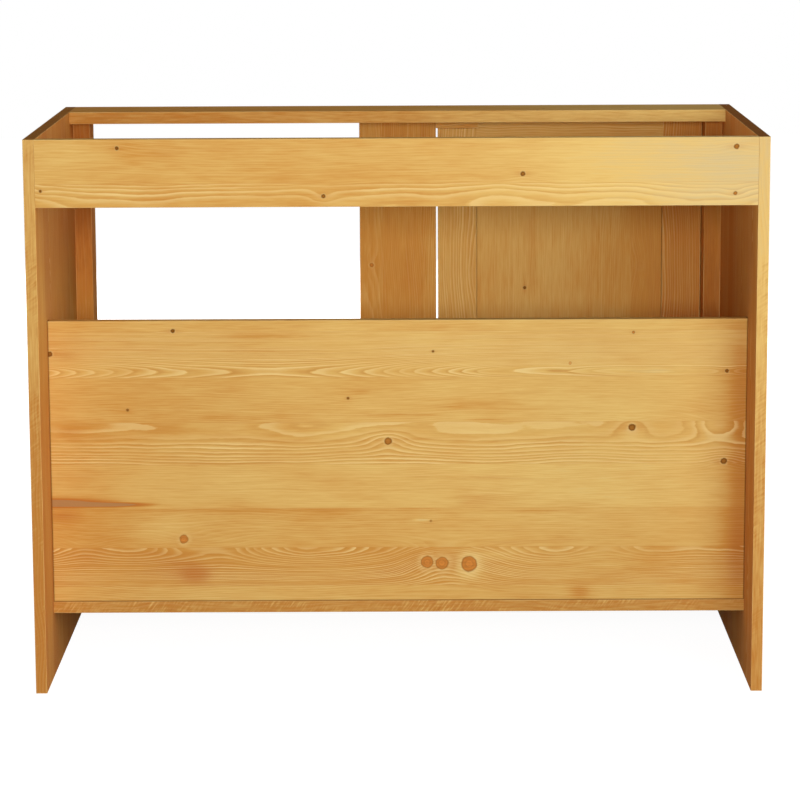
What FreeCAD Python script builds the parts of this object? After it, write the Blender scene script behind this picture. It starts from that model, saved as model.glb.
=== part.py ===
import FreeCAD, Part
import math
import os

from FreeCAD import Vector

# Blind-corner base cabinet in solid pine, without a worktop. Millimetres.
# X runs along the front, Y from the front to the back, Z up from the floor.
# Seen from the front, the door is on the left and the open blind half on the right.

# Carcass
WIDTH = 1100.0
DEPTH = 600.0
HEIGHT = 840.0
SIDE_T = 17.0
BASE_T = 18.0
BASE_LIFT = 97.5
BACK_PANEL_T = 18.0
BACK_PANEL_H = 438.0
BACK_RECESS = 112.0
BACK_RAIL_T = 18.0
BACK_RAIL_H = 101.0
FRONT_RAIL_T = 19.5
FRONT_RAIL_D = 109.0
EASE = 1.0

# Front frame and door stop
POST_W = 28.0
POST_D = 60.0
STILE_W = 127.0
STILE_T = 20.0
STOP_W = 70.0
STOP_D = 20.0
STOP_H = 15.0

# Carcass joints: housings in the side panels, stub tenons on the rails and uprights
HOUSING_DEPTH = 6.0
HOUSING_STOP = 20.0
TENON_T = 6.0
TENON_DEPTH = 10.0
TENON_SHOULDER = 12.0
JOINT_RELIEF = 0.5

# Plinth
PLINTH_T = 18.0
PLINTH_SETBACK = 50.0
PLINTH_LIFT = 3.0
BLOCK_W = 60.0
BLOCK_SIZE = 22.0
BLOCK_COUNT = 4
BLOCK_INSET = 90.0

# Shelf on its two battens
SHELF_T = 18.0
SHELF_RISE = 225.0
SHELF_PLAY = 2.0
BATTEN_W = 18.0
BATTEN_H = 25.0
BATTEN_SETBACK = 20.0

# Door
DOOR_T = 20.0
DOOR_GAP = 3.0
DOOR_STILE_W = 64.0
DOOR_RAIL_W = 64.0
GROOVE_W = 6.0
GROOVE_DEPTH = 10.0
PANEL_SEAM = 1.2
PANEL_RELIEF = 1.0
TONGUE_FIT = 0.1

# Butt hinges
HINGE_H = 63.0
HINGE_INSET = 95.0
KNUCKLES = 3
KNUCKLE_R = 2.6
KNUCKLE_GAP = 0.3
KNUCKLE_STANDOFF = 0.5
LEAF_T = 1.8
LEAF_W = 16.0
MORTISE_FIT = 0.2
HINGE_PIN_R = 1.4
HINGE_PIN_FIT = 0.03
LEAF_SCREWS = 2
LEAF_SCREW_INSET = 10.0
LEAF_SCREW_R = 1.5
LEAF_SCREW_L = 16.0
SCREW_FIT = 0.05

# Turned knob and its screw
KNOB_L = 28.0
KNOB_R = 17.0
KNOB_NECK_R = 9.0
KNOB_NECK_L = 12.0
KNOB_BEVEL_W = 3.0
KNOB_BEVEL_L = 1.5
KNOB_DROP = 82.0
KNOB_SCREW_R = 2.0
KNOB_SCREW_BITE = 16.0
KNOB_SCREW_HEAD_R = 4.0
KNOB_SCREW_HEAD_L = 2.4

# Magnetic catch
MAGNET_R = 4.0
MAGNET_L = 14.0
STRIKE_R = 5.0
STRIKE_T = 4.0
CATCH_DROP = 6.0
CATCH_FIT = 0.05

# Holes through the front rail for the screws that hold a worktop
WORKTOP_HOLE_R = 2.5
WORKTOP_HOLE_SPACING = 760.0

# Planes that the pieces share. The knob counts in the depth that is centred on Y.
X_OUT = WIDTH / 2
X_IN = X_OUT - SIDE_T
X_JAMB = X_IN - POST_W
X_STILE = STILE_W / 2
Y_FRONT = (KNOB_L - DEPTH) / 2
Y_BACK = Y_FRONT + DEPTH
Y_PANEL_BACK = Y_BACK - BACK_RECESS
Y_PANEL_FRONT = Y_PANEL_BACK - BACK_PANEL_T
Y_PLINTH = Y_FRONT + PLINTH_SETBACK
Y_FRONT_RAIL_BACK = Y_FRONT + FRONT_RAIL_D
Y_BACK_RAIL_FRONT = Y_BACK - BACK_RAIL_T
Z_BASE = BASE_LIFT
Z_BASE_TOP = Z_BASE + BASE_T
Z_FRONT_RAIL = HEIGHT - FRONT_RAIL_T
Z_BACK_RAIL = HEIGHT - BACK_RAIL_H
Z_PANEL_TOP = Z_BASE_TOP + BACK_PANEL_H

# Hinge line: the leaves lie flush in their mortises, and the barrel stands clear of the front
HINGE_GAP = 2 * (KNUCKLE_R - LEAF_T)
HINGE_X = -X_JAMB + HINGE_GAP / 2
HINGE_Y = Y_FRONT - KNUCKLE_STANDOFF - KNUCKLE_R

# Door
DOOR_LEFT = -X_JAMB + HINGE_GAP
DOOR_RIGHT = -X_STILE - DOOR_GAP
DOOR_BOTTOM = Z_BASE_TOP + DOOR_GAP
DOOR_TOP = Z_FRONT_RAIL - DOOR_GAP
Y_DOOR_BACK = Y_FRONT + DOOR_T
Y_GROOVE = Y_FRONT + (DOOR_T - GROOVE_W) / 2
RAIL_LEFT = DOOR_LEFT + DOOR_STILE_W
RAIL_RIGHT = DOOR_RIGHT - DOOR_STILE_W
PANEL_LOW = DOOR_BOTTOM + DOOR_RAIL_W
PANEL_HIGH = DOOR_TOP - DOOR_RAIL_W
HINGE_BOTTOMS = {"lower": DOOR_BOTTOM + HINGE_INSET - HINGE_H / 2,
                 "upper": DOOR_TOP - HINGE_INSET - HINGE_H / 2}

# Things on the door
KNOB_SEAT = Vector(DOOR_RIGHT - DOOR_STILE_W / 2, Y_FRONT, DOOR_TOP - KNOB_DROP)
CATCH_FACE = Vector(-X_STILE - STOP_W / 2, Y_DOOR_BACK, DOOR_TOP - CATCH_DROP)

AXIS_X = Vector(1, 0, 0)
AXIS_Y = Vector(0, 1, 0)
AXIS_Z = Vector(0, 0, 1)
TOUCH = 0.001


def block(x0, x1, y0, y1, z0, z1):
    """A box between two values on each axis, the X values in either order."""
    left = min(x0, x1)
    return Part.makeBox(abs(x1 - x0), y1 - y0, z1 - z0, Vector(left, y0, z0))


def rod(radius, start, axis, length):
    return Part.makeCylinder(radius, length, start, axis)


def ease(board, axis, *corners):
    """Round the arrises of a board that run along one axis through the given corners."""
    edges = []
    for edge in board.Edges:
        start = edge.Vertexes[0].Point
        run = edge.Vertexes[-1].Point - start
        if run.cross(axis).Length > TOUCH:
            continue
        for corner in corners:
            if (start - corner).cross(axis).Length < TOUCH:
                edges.append(edge)
    return board.makeFillet(EASE, edges)


def spread(low, high, count, inset):
    """Evenly spaced places between two ends, the outer ones set in from them."""
    step = (high - low - 2 * inset) / (count - 1)
    return [low + inset + step * i for i in range(count)]


def save(name, *solids):
    shape = solids[0] if len(solids) == 1 else Part.makeCompound(list(solids))
    shape.exportStep("parts/%s.step" % name)


# Joints of the boards that meet the side panels: depth, then the tongue's Y and Z limits
FRONT_RAIL_MID = Z_FRONT_RAIL + FRONT_RAIL_T / 2
BACK_RAIL_MID = Y_BACK - BACK_RAIL_T / 2
SIDE_JOINTS = {
    "base_panel": (HOUSING_DEPTH, Y_FRONT + HOUSING_STOP, Y_PANEL_BACK, Z_BASE, Z_BASE_TOP),
    "back_panel": (HOUSING_DEPTH, Y_PANEL_FRONT, Y_PANEL_BACK, Z_BASE_TOP, Z_PANEL_TOP - HOUSING_STOP),
    "plinth_board": (HOUSING_DEPTH, Y_PLINTH, Y_PLINTH + PLINTH_T, PLINTH_LIFT, Z_BASE),
    "front_rail": (TENON_DEPTH, Y_FRONT + TENON_SHOULDER, Y_FRONT_RAIL_BACK - TENON_SHOULDER,
                   FRONT_RAIL_MID - TENON_T / 2, FRONT_RAIL_MID + TENON_T / 2),
    "back_rail": (TENON_DEPTH, BACK_RAIL_MID - TENON_T / 2, BACK_RAIL_MID + TENON_T / 2,
                  Z_BACK_RAIL + TENON_SHOULDER, HEIGHT - TENON_SHOULDER),
}

# Joints of the uprights, tenoned into the base and the front rail: the tenon's X and Y limits
POST_MID = X_IN - POST_W / 2
STILE_MID = Y_FRONT + STILE_T / 2
POST_TENON = (POST_MID - TENON_T / 2, POST_MID + TENON_T / 2,
              Y_FRONT + TENON_SHOULDER, Y_FRONT + POST_D - TENON_SHOULDER)
UPRIGHT_JOINTS = {
    "centre_stile": (-X_STILE + TENON_SHOULDER, X_STILE - TENON_SHOULDER,
                     STILE_MID - TENON_T / 2, STILE_MID + TENON_T / 2),
    "hinge_post": (-POST_TENON[0], -POST_TENON[1], POST_TENON[2], POST_TENON[3]),
    "blind_post": POST_TENON,
}

# Tongue under the back panel, in a groove of the base
PANEL_MID = Y_PANEL_BACK - BACK_PANEL_T / 2
FOOT_TONGUE = (-X_IN, X_IN, PANEL_MID - TENON_T / 2, PANEL_MID + TENON_T / 2)


def tongued(board, name):
    """A board with the tongues or tenons that enter both side panels."""
    depth, y0, y1, z0, z1 = SIDE_JOINTS[name]
    ends = [block(side * X_IN, side * (X_IN + depth), y0, y1, z0, z1) for side in (-1, 1)]
    return board.fuse(ends).removeSplitter()


def housings(side):
    """The housings and mortises of one side panel."""
    cuts = []
    for depth, y0, y1, z0, z1 in SIDE_JOINTS.values():
        cuts.append(block(side * X_IN, side * (X_IN + depth + JOINT_RELIEF), y0, y1, z0, z1))
    return cuts


def tenoned(upright, name):
    """An upright with its tenon at the foot and at the head."""
    foot = block(*UPRIGHT_JOINTS[name], Z_BASE_TOP - TENON_DEPTH, Z_BASE_TOP)
    head = block(*UPRIGHT_JOINTS[name], Z_FRONT_RAIL, Z_FRONT_RAIL + TENON_DEPTH)
    return upright.fuse([foot, head]).removeSplitter()


def foot_mortises():
    depth = TENON_DEPTH + JOINT_RELIEF
    return [block(*limits, Z_BASE_TOP - depth, Z_BASE_TOP) for limits in UPRIGHT_JOINTS.values()]


def head_mortises():
    depth = TENON_DEPTH + JOINT_RELIEF
    return [block(*limits, Z_FRONT_RAIL, Z_FRONT_RAIL + depth) for limits in UPRIGHT_JOINTS.values()]


# Loose shelf, and the battens glued to the side panels to carry it
SHELF_FRONT = Y_FRONT + POST_D + SHELF_PLAY
SHELF_BACK = Y_PANEL_FRONT - SHELF_PLAY
Z_SHELF = Z_BASE_TOP + SHELF_RISE


def make_shelf():
    x = X_IN - SHELF_PLAY
    board = block(-x, x, SHELF_FRONT, SHELF_BACK, Z_SHELF, Z_SHELF + SHELF_T)
    return ease(board, AXIS_X, Vector(0, SHELF_FRONT, Z_SHELF), Vector(0, SHELF_FRONT, Z_SHELF + SHELF_T))


def shelf_batten(side):
    inner = side * (X_IN - BATTEN_W)
    low = Z_SHELF - BATTEN_H
    board = block(side * X_IN, inner, SHELF_FRONT + BATTEN_SETBACK, Y_PANEL_FRONT, low, Z_SHELF)
    return ease(board, AXIS_Y, Vector(inner, 0, low))


# Carcass boards
def side_panel(side):
    board = block(side * X_IN, side * X_OUT, Y_FRONT, Y_BACK, 0, HEIGHT)
    board = ease(board, AXIS_Z,
                 Vector(side * X_OUT, Y_FRONT, 0), Vector(side * X_OUT, Y_BACK, 0),
                 Vector(side * X_IN, Y_BACK, 0))
    return board.cut(housings(side))


def base_panel():
    board = block(-X_IN, X_IN, Y_FRONT, Y_PANEL_BACK, Z_BASE, Z_BASE_TOP)
    board = ease(board, AXIS_X, Vector(0, Y_FRONT, Z_BASE), Vector(0, Y_FRONT, Z_BASE_TOP),
                 Vector(0, Y_PANEL_BACK, Z_BASE))
    groove = block(*FOOT_TONGUE, Z_BASE_TOP - HOUSING_DEPTH - JOINT_RELIEF, Z_BASE_TOP)
    return tongued(board, "base_panel").cut(foot_mortises() + [groove])


def back_panel():
    board = block(-X_IN, X_IN, Y_PANEL_FRONT, Y_PANEL_BACK, Z_BASE_TOP, Z_PANEL_TOP)
    board = ease(board, AXIS_X, Vector(0, Y_PANEL_FRONT, Z_PANEL_TOP), Vector(0, Y_PANEL_BACK, Z_PANEL_TOP))
    tongue = block(*FOOT_TONGUE, Z_BASE_TOP - HOUSING_DEPTH, Z_BASE_TOP)
    return tongued(board, "back_panel").fuse(tongue).removeSplitter()


def back_rail():
    board = block(-X_IN, X_IN, Y_BACK_RAIL_FRONT, Y_BACK, Z_BACK_RAIL, HEIGHT)
    board = ease(board, AXIS_X, *[Vector(0, y, z) for y in (Y_BACK_RAIL_FRONT, Y_BACK)
                                  for z in (Z_BACK_RAIL, HEIGHT)])
    return tongued(board, "back_rail")


def front_rail():
    board = block(-X_IN, X_IN, Y_FRONT, Y_FRONT_RAIL_BACK, Z_FRONT_RAIL, HEIGHT)
    board = ease(board, AXIS_X, Vector(0, Y_FRONT, HEIGHT), Vector(0, Y_FRONT_RAIL_BACK, HEIGHT),
                 Vector(0, Y_FRONT_RAIL_BACK, Z_FRONT_RAIL))
    holes = [rod(WORKTOP_HOLE_R, Vector(x, Y_FRONT + FRONT_RAIL_D / 2, Z_FRONT_RAIL), AXIS_Z, FRONT_RAIL_T)
             for x in (-WORKTOP_HOLE_SPACING / 2, WORKTOP_HOLE_SPACING / 2)]
    return tongued(board, "front_rail").cut(head_mortises() + holes)


def centre_stile():
    board = block(-X_STILE, X_STILE, Y_FRONT, Y_FRONT + STILE_T, Z_BASE_TOP, Z_FRONT_RAIL)
    board = ease(board, AXIS_Z, *[Vector(x, y, 0) for x in (-X_STILE, X_STILE)
                                  for y in (Y_FRONT, Y_FRONT + STILE_T)])
    return tenoned(board, "centre_stile")


def post(side, name):
    board = block(side * X_JAMB, side * X_IN, Y_FRONT, Y_FRONT + POST_D, Z_BASE_TOP, Z_FRONT_RAIL)
    board = ease(board, AXIS_Z, Vector(side * X_JAMB, Y_FRONT + POST_D, 0))
    return tenoned(board, name)


def plinth_board():
    board = block(-X_IN, X_IN, Y_PLINTH, Y_PLINTH + PLINTH_T, PLINTH_LIFT, Z_BASE)
    return tongued(board, "plinth_board")


def plinth_block(x):
    """A three-cornered glue block in the corner between the plinth and the base."""
    back = Y_PLINTH + PLINTH_T
    left = x - BLOCK_W / 2
    corners = [Vector(left, back, Z_BASE), Vector(left, back + BLOCK_SIZE, Z_BASE),
               Vector(left, back, Z_BASE - BLOCK_SIZE)]
    return Part.Face(Part.makePolygon(corners + corners[:1])).extrude(AXIS_X * BLOCK_W)


# Door stop under the front rail, with the catch's magnet let into its face
def door_stop():
    board = block(-X_STILE - STOP_W, -X_STILE, Y_DOOR_BACK, Y_DOOR_BACK + STOP_D,
                  Z_FRONT_RAIL - STOP_H, Z_FRONT_RAIL)
    board = ease(board, AXIS_X, Vector(0, Y_DOOR_BACK + STOP_D, Z_FRONT_RAIL - STOP_H))
    return board.cut(rod(MAGNET_R + CATCH_FIT, CATCH_FACE, AXIS_Y, MAGNET_L))


# Butt hinges. On a leaf, side is -1 towards the post and +1 towards the door.
def leaf_screw(side, head, fit=0.0):
    """A countersunk screw with its head flush in the leaf, or the hole for one."""
    axis = AXIS_X * side
    cone = Part.makeCone(LEAF_SCREW_R + LEAF_T + fit, LEAF_SCREW_R + fit, LEAF_T, head, axis)
    shank = rod(LEAF_SCREW_R + fit, head + axis * LEAF_T, axis, LEAF_SCREW_L - LEAF_T + fit)
    return cone.fuse(shank)


def leaf_screw_heads(side, bottom):
    zs = spread(bottom, bottom + HINGE_H, LEAF_SCREWS, LEAF_SCREW_INSET)
    return [Vector(HINGE_X + side * HINGE_GAP / 2, Y_FRONT + LEAF_W / 2, z) for z in zs]


def leaf(side, bottom):
    """A plate in its mortise, with every other knuckle of the barrel rolled from its edge."""
    inner = HINGE_X + side * HINGE_GAP / 2
    outer = HINGE_X + side * KNUCKLE_R
    pitch = HINGE_H / KNUCKLES
    knuckles = []
    for k in range(0 if side < 0 else 1, KNUCKLES, 2):
        low = bottom + k * pitch + KNUCKLE_GAP / 2
        high = low + pitch - KNUCKLE_GAP
        knuckles.append(rod(KNUCKLE_R, Vector(HINGE_X, HINGE_Y, low), AXIS_Z, high - low))
        knuckles.append(block(inner, outer, HINGE_Y, Y_FRONT, low, high))
    plate = block(inner, outer, Y_FRONT, Y_FRONT + LEAF_W, bottom, bottom + HINGE_H)
    bore = rod(HINGE_PIN_R + HINGE_PIN_FIT, Vector(HINGE_X, HINGE_Y, bottom), AXIS_Z, HINGE_H)
    holes = [leaf_screw(side, head, SCREW_FIT) for head in leaf_screw_heads(side, bottom)]
    return plate.fuse(knuckles).removeSplitter().cut([bore] + holes)


def hinge_pin(bottom):
    """A plain pin, its ends flush with the outer knuckles."""
    start = Vector(HINGE_X, HINGE_Y, bottom + KNUCKLE_GAP / 2)
    return rod(HINGE_PIN_R, start, AXIS_Z, HINGE_H - KNUCKLE_GAP)


def hinge_cuts(side):
    """Mortises and pilot holes for the leaves on one side of the hinge line."""
    cuts = []
    for bottom in HINGE_BOTTOMS.values():
        cuts.append(block(HINGE_X + side * HINGE_GAP / 2, HINGE_X + side * KNUCKLE_R,
                          Y_FRONT, Y_FRONT + LEAF_W + MORTISE_FIT,
                          bottom - MORTISE_FIT, bottom + HINGE_H + MORTISE_FIT))
        cuts += [leaf_screw(side, head, SCREW_FIT) for head in leaf_screw_heads(side, bottom)]
    return cuts


def leaf_screws(side):
    heads = [head for bottom in HINGE_BOTTOMS.values() for head in leaf_screw_heads(side, bottom)]
    return [leaf_screw(side, head).removeSplitter() for head in heads]


# Door: grooved stiles, rails with stub tenons, and a panel flush with the back of the frame
def door_stile(outer, inner, *eased_ys):
    """A stile from its outer edge to the edge that is grooved for the rails and the panel."""
    board = block(outer, inner, Y_FRONT, Y_DOOR_BACK, DOOR_BOTTOM, DOOR_TOP)
    board = ease(board, AXIS_Z, *[Vector(outer, y, 0) for y in eased_ys])
    outward = math.copysign(GROOVE_DEPTH, outer - inner)
    return board.cut(block(inner, inner + outward, Y_GROOVE, Y_GROOVE + GROOVE_W, DOOR_BOTTOM, DOOR_TOP))


def door_rail(low, high, groove_low):
    """A rail with a stub tenon at each end, grooved from groove_low for the panel."""
    reach = GROOVE_DEPTH - JOINT_RELIEF
    board = block(RAIL_LEFT, RAIL_RIGHT, Y_FRONT, Y_DOOR_BACK, low, high)
    tenons = block(RAIL_LEFT - reach, RAIL_RIGHT + reach, Y_GROOVE, Y_GROOVE + GROOVE_W, low, high)
    groove = block(RAIL_LEFT - reach, RAIL_RIGHT + reach, Y_GROOVE, Y_GROOVE + GROOVE_W,
                   groove_low, groove_low + GROOVE_DEPTH)
    return board.fuse(tenons).cut(groove).removeSplitter()


def door_panel():
    reach = GROOVE_DEPTH - PANEL_RELIEF
    shoulder = Y_GROOVE + GROOVE_W - TONGUE_FIT
    tongue = block(RAIL_LEFT - reach, RAIL_RIGHT + reach, Y_GROOVE + TONGUE_FIT, shoulder,
                   PANEL_LOW - reach, PANEL_HIGH + reach)
    field = block(RAIL_LEFT + PANEL_SEAM, RAIL_RIGHT - PANEL_SEAM, shoulder, Y_DOOR_BACK,
                  PANEL_LOW + PANEL_SEAM, PANEL_HIGH - PANEL_SEAM)
    return tongue.fuse(field).removeSplitter()


def strike(fit=0.0):
    """The disc that the magnet holds, pressed into the door, or the recess for it."""
    return rod(STRIKE_R + fit, CATCH_FACE - AXIS_Y * STRIKE_T, AXIS_Y, STRIKE_T)


# Knob, turned about an axis square to the door: a straight neck and a head with a bevelled face
def knob_screw_hole():
    start = KNOB_SEAT + AXIS_Y * DOOR_T
    return rod(KNOB_SCREW_R + SCREW_FIT, start, -AXIS_Y, DOOR_T + KNOB_SCREW_BITE + SCREW_FIT)


def knob():
    centre = Vector(0, 0, 0)
    outline = [centre,
               Vector(KNOB_NECK_R, 0, 0),
               Vector(KNOB_NECK_R, -KNOB_NECK_L, 0),
               Vector(KNOB_R, -KNOB_NECK_L, 0),
               Vector(KNOB_R, KNOB_BEVEL_L - KNOB_L, 0),
               Vector(KNOB_R - KNOB_BEVEL_W, -KNOB_L, 0),
               Vector(0, -KNOB_L, 0),
               centre]
    turned = Part.Face(Part.makePolygon(outline)).revolve(centre, AXIS_Y, 360)
    turned.translate(KNOB_SEAT)
    return turned.cut(knob_screw_hole())


def knob_screw():
    back = KNOB_SEAT + AXIS_Y * DOOR_T
    shank = rod(KNOB_SCREW_R, back, -AXIS_Y, DOOR_T + KNOB_SCREW_BITE)
    return shank.fuse(rod(KNOB_SCREW_HEAD_R, back, AXIS_Y, KNOB_SCREW_HEAD_L)).removeSplitter()


os.makedirs("parts", exist_ok=True)

save("side_panel_left", side_panel(-1))
save("side_panel_right", side_panel(1))
save("base_panel", base_panel())
save("back_panel", back_panel())
save("back_rail", back_rail())
save("front_rail", front_rail())
save("centre_stile", centre_stile())
save("hinge_post", post(-1, "hinge_post").cut(hinge_cuts(-1)))
save("blind_post", post(1, "blind_post"))
save("plinth_board", plinth_board())
save("plinth_blocks", *[plinth_block(x) for x in spread(-X_IN, X_IN, BLOCK_COUNT, BLOCK_INSET)])
save("shelf", make_shelf())
save("shelf_battens", shelf_batten(-1), shelf_batten(1))
save("door_stop", door_stop())
save("catch_magnet", rod(MAGNET_R, CATCH_FACE, AXIS_Y, MAGNET_L))

for place, hinge_bottom in HINGE_BOTTOMS.items():
    save("%s_hinge_post_leaf" % place, leaf(-1, hinge_bottom))
    save("%s_hinge_door_leaf" % place, leaf(1, hinge_bottom))
    save("%s_hinge_pin" % place, hinge_pin(hinge_bottom))
save("post_leaf_screws", *leaf_screws(-1))
save("door_leaf_screws", *leaf_screws(1))

save("door_hinge_stile", door_stile(DOOR_LEFT, RAIL_LEFT, Y_DOOR_BACK).cut(hinge_cuts(1)))
lock_stile = door_stile(DOOR_RIGHT, RAIL_RIGHT, Y_FRONT, Y_DOOR_BACK)
save("door_lock_stile", lock_stile.cut([knob_screw_hole(), strike(CATCH_FIT)]))
save("door_bottom_rail", door_rail(DOOR_BOTTOM, PANEL_LOW, PANEL_LOW - GROOVE_DEPTH))
save("door_top_rail", door_rail(PANEL_HIGH, DOOR_TOP, PANEL_HIGH))
save("door_panel", door_panel())
save("strike_plate", strike())
save("knob", knob())
save("knob_screw", knob_screw())
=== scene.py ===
import math
import random
from collections import namedtuple
from types import SimpleNamespace

import bmesh
import bpy
from mathutils import Matrix, Vector
from mathutils.geometry import interpolate_bezier


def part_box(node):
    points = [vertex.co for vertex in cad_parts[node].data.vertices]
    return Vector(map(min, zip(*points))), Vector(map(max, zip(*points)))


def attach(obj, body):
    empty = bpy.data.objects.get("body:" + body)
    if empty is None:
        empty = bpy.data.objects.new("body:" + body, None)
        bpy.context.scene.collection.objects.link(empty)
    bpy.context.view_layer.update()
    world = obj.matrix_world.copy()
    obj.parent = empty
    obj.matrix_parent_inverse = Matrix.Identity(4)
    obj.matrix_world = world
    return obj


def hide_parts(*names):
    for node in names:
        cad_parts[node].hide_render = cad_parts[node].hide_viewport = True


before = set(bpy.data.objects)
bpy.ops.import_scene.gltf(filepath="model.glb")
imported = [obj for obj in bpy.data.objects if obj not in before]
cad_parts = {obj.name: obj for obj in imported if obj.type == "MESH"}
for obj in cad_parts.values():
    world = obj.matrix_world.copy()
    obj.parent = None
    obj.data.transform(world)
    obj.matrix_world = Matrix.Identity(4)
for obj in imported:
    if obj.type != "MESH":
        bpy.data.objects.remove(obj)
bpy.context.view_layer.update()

# A corner base cabinet in honey-stained pine, seen from behind. Sizes are in millimetres
# where a name or comment doesn't say otherwise, and MM turns them into the frame's metres.
MM = 0.001

# Camera at the photograph's view, fitted to the cabinet's edges in it
IMAGE_PX = 800
FOCAL_PX = 3111.3
SENSOR_W = 36.0
CAMERA_AT_M = (-0.0155, 4.8813, 1.2537)
CAMERA_TURN_DEG = (80.015, 0.253, -179.896)
CAMERA_REACH_M = 50.0

# Studio lamps: place in metres, width in metres and power in watts
AIM_M = (0.0, 0.1, 0.45)
LAMPS = {
    "key_lamp": ((-2.0, 4.2, 1.25), 3.0, 68.0),
    "fill_lamp": ((0.2, 4.9, 1.33), 0.9, 118.0),
    "front_lamp": ((0.4, -4.4, 1.5), 2.4, 180.0),
    "left_lamp": ((-4.6, 0.8, 0.95), 2.4, 132.0),
    "right_lamp": ((4.6, 0.8, 0.95), 2.4, 70.0),
}
SKY_LIGHT = 0.06

# White floor: the share of light that it throws back at the cabinet, the share that the camera sees
# on it, where shadows show, and its own glow, which turns to full white between two distances
FLOOR_HALF_M = 9.0
FLOOR_ALBEDO = 0.36
FLOOR_SHADOW = 0.3
FLOOR_GLOW = 0.94
SHADOW_REACH_M = (1.6, 3.0)

# Honey-stained pine, linear red, green and blue
# Cream is pale wood, and also a painted sheen on the back rail's end towards -X
CREAM_AND_SHEEN = (0.62, 0.49, 0.265, 1.0)
STRAW = (0.77, 0.515, 0.163, 1.0)
AMBER = (0.62, 0.29, 0.060, 1.0)
RUSSET = (0.515, 0.171, 0.032, 1.0)
LATEWOOD = (0.83, 0.60, 0.240, 1.0)
EARLYWOOD = (0.52, 0.215, 0.042, 1.0)
STREAK_GREY = (0.44, 0.225, 0.085, 1.0)
END_BROWN = (0.24, 0.085, 0.020, 1.0)
KNOT_BROWN = (0.33, 0.130, 0.022, 1.0)
KNOT_RED = (0.54, 0.200, 0.038, 1.0)
BARK_BROWN = (0.17, 0.055, 0.008, 1.0)
VARNISH_GLOSS = 0.01

# Metals
BRASS = (0.72, 0.50, 0.17, 1.0)
TARNISH = (0.42, 0.26, 0.08, 1.0)
ZINC_GREY = (0.50, 0.51, 0.52, 1.0)
ZINC_WHITE = (0.72, 0.72, 0.71, 1.0)

# How pine grows: the width of a ring, how far rings sway, ripple and fray, and how far a bow reaches
RING_W = 3.5
RING_SWAY = 24.0
RING_RIPPLE = 3.0
RING_FRAY = 1.1
BOW_REACH = 330.0
# How far a knot pushes the rings, and its brown tails along and across the grain, in its radii
KNOT_PUSH = 1.6
KNOT_TAIL = (4.5, 1.3)
# Widths of the lines at glue, at worn arrises, round knots and where another board butts on, the last a
# painted shade in the corner
SEAM_W = 0.8
ARRIS_W = 2.0
RIM_W = 1.0
BUTT_W = 2.4
# Marks in the grain: lumps per metre along it and across it
HAIR = (30, 420)
FIBRE = (9, 160)
STREAK = (4.5, 80)
BLOTCH = (7, 20)
FADE = (6, 20)
# A distance at which no line or knot shows
AWAY = 99.0
# Largest lengths and crowding of rings that a plank's row of numbers holds
FAR = 2400.0
CROWDED = 8.0

# A plank of a board: its width, or None for the board's own, its tone from russet at -1 over amber to
# straw at 1, the strength of its rings, the tree's heart beside its middle and below it, how the rings
# crowd, how far the heart wanders, and the place and size of a bow in it
Plank = namedtuple("Plank", "width tone figure heart deep crowd wander bow_at bow",
                   defaults=(1.0, 38.0, 0.0, 0.0))
# A knot's place, radius and stain, from 0, where it only bends the rings, to 1, where it is dark
Knot = namedtuple("Knot", "along across radius stain")
# A soft patch's place, its reach along and across the grain, and its stain, below 0 where it is pale. Some
# patches are real stain, others painted shade and painted light
Patch = namedtuple("Patch", "along across reach rise stain")

# Planks and knots that are left to chance
LAMELLA_W = 67.0
LAMELLA_TRIM = (0.3, 1.0)
LAMELLA_TONES = (0.30, 0.56)
LAMELLA_FIGURES = (0.1, 0.5)
LAMELLA_HEARTS = (30, 90)
LAMELLA_DEPTHS = (15, 50)
KNOT_EVERY = 400.0
KNOT_RADII = (1.4, 1.8, 2.4, 3.2, 4.5, 6.5)
KNOT_STAINS = (0.35, 1.0)
NARROW_TONES = (0.30, 0.44)
NARROW_FIGURES = (0.2, 0.5)
NARROW_HEARTS = (40, 90)
NARROW_DEPTHS = (15, 40)


class Field:
    """A number that varies over a surface. Arithmetic on fields adds Math nodes to the finish."""

    def __init__(self, tree, socket):
        self.tree = tree
        self.socket = socket

    def reckon(self, operation, *others):
        node = self.tree.nodes.new("ShaderNodeMath")
        node.operation = operation
        for socket, value in zip(node.inputs, (self,) + others):
            feed(self.tree, socket, value)
        return Field(self.tree, node.outputs[0])

    def __add__(self, other):
        return self.reckon("ADD", other)

    def __sub__(self, other):
        return self.reckon("SUBTRACT", other)

    def __mul__(self, other):
        return self.reckon("MULTIPLY", other)

    def __truediv__(self, other):
        return self.reckon("DIVIDE", other)

    def __abs__(self):
        return self.reckon("ABSOLUTE")

    def root(self):
        return self.reckon("SQRT")

    def fraction(self):
        return self.reckon("FRACT")

    def floor(self):
        return self.reckon("FLOOR")

    def least(self, other):
        return self.reckon("MINIMUM", other)

    def most(self, other):
        return self.reckon("MAXIMUM", other)

    def past(self, limit):
        """1 where the field is over the limit, and 0 elsewhere."""
        return self.reckon("GREATER_THAN", limit)

    def ramp(self, start, end, low=0.0, high=1.0):
        """A smooth change from low to high as the field goes from start to end."""
        node = self.tree.nodes.new("ShaderNodeMapRange")
        node.interpolation_type = "SMOOTHSTEP"
        for socket, value in zip(node.inputs, (self, start, end, low, high)):
            feed(self.tree, socket, value)
        return Field(self.tree, node.outputs[0])

    def hump(self):
        """A bell that is 1 where the field is 0 and dies away on both sides."""
        return (self * self * -1.0).reckon("EXPONENT")


def feed(tree, socket, value):
    """Links a field or a node's output to a socket, or sets a plain number or colour on it."""
    if isinstance(value, Field):
        tree.links.new(value.socket, socket)
    elif isinstance(value, bpy.types.NodeSocket):
        tree.links.new(value, socket)
    else:
        socket.default_value = value


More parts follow.
